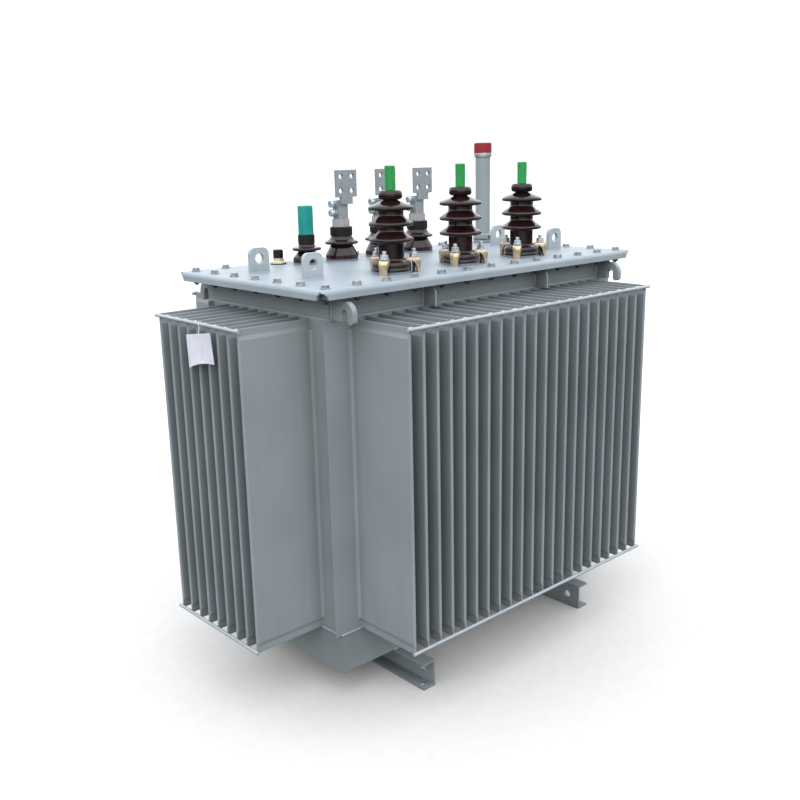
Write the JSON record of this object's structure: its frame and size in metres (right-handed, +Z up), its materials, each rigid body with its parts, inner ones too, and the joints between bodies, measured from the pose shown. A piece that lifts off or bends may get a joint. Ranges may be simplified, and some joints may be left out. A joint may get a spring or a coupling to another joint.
{
  "type": "power transformer",
  "caption": "Oil-immersed power transformer: sealed tank with corrugated fin walls, skid channels, bolted lid, porcelain bushings with terminals, lifting lugs and filler pipe.",
  "frame": {"origin": "floor level under the middle of the tank", "axes": "+X along the long side, +Z up, -Y faces the high-voltage side"},
  "size_m": [1.688, 1.054, 1.592],
  "materials": {
    "grey_paint": "satin grey paint on steel",
    "brown_porcelain": "glossy brown glaze",
    "grey_gasket": "grey sealing rubber",
    "yellow_zinc_steel": "yellow passivated zinc",
    "zinc_steel": "bright zinc",
    "tinned_metal": "dull tin plate",
    "green_cap": "moulded green cap",
    "teal_cap": "moulded teal cap",
    "red_cap": "moulded red cap",
    "black_rubber": "black moulded rubber",
    "brass_fitting": "dull brass",
    "tag_paper": "plain white card"
  },
  "bodies": {
    "root": {"base_pan": "grey_paint", "left_skid": "grey_paint", "right_skid": "grey_paint", "front_fin_wall": "grey_paint", "back_fin_wall": "grey_paint", "left_fin_wall": "grey_paint", "right_fin_wall": "grey_paint", "front_tie_rods": "grey_paint", "back_tie_rods": "grey_paint", "left_tie_rods": "grey_paint", "right_tie_rods": "grey_paint", "tank_rim": "grey_paint", "rim_flange": "grey_paint", "rim_gussets": "grey_paint", "front_hooks": "grey_paint", "back_hooks": "grey_paint", "lid_gasket": "grey_gasket", "lid": "grey_paint", "lug_back_left": "grey_paint", "lug_front_left": "grey_paint", "lug_front_right": "grey_paint", "lug_back_right": "grey_paint", "hv_gaskets": "grey_gasket", "hv_bushing_1": "brown_porcelain", "hv_bushing_2": "brown_porcelain", "hv_bushing_3": "brown_porcelain", "hv_clamps": "yellow_zinc_steel", "hv_caps": "green_cap", "lv_gaskets": "grey_gasket", "lv_bushing_1": "brown_porcelain", "lv_bushing_2": "brown_porcelain", "lv_bushing_3": "brown_porcelain", "lv_collars": "black_rubber", "lv_nuts": "tinned_metal", "lv_terminal_1": "tinned_metal", "lv_terminal_2": "tinned_metal", "lv_terminal_3": "tinned_metal", "neutral_bushing": "brown_porcelain", "neutral_collar": "black_rubber", "neutral_cap": "teal_cap", "filler_pipe": "grey_paint", "filler_cap": "red_cap", "vent_plug": "brass_fitting", "vent_cap": "black_rubber"}
  },
  "joints": []
}
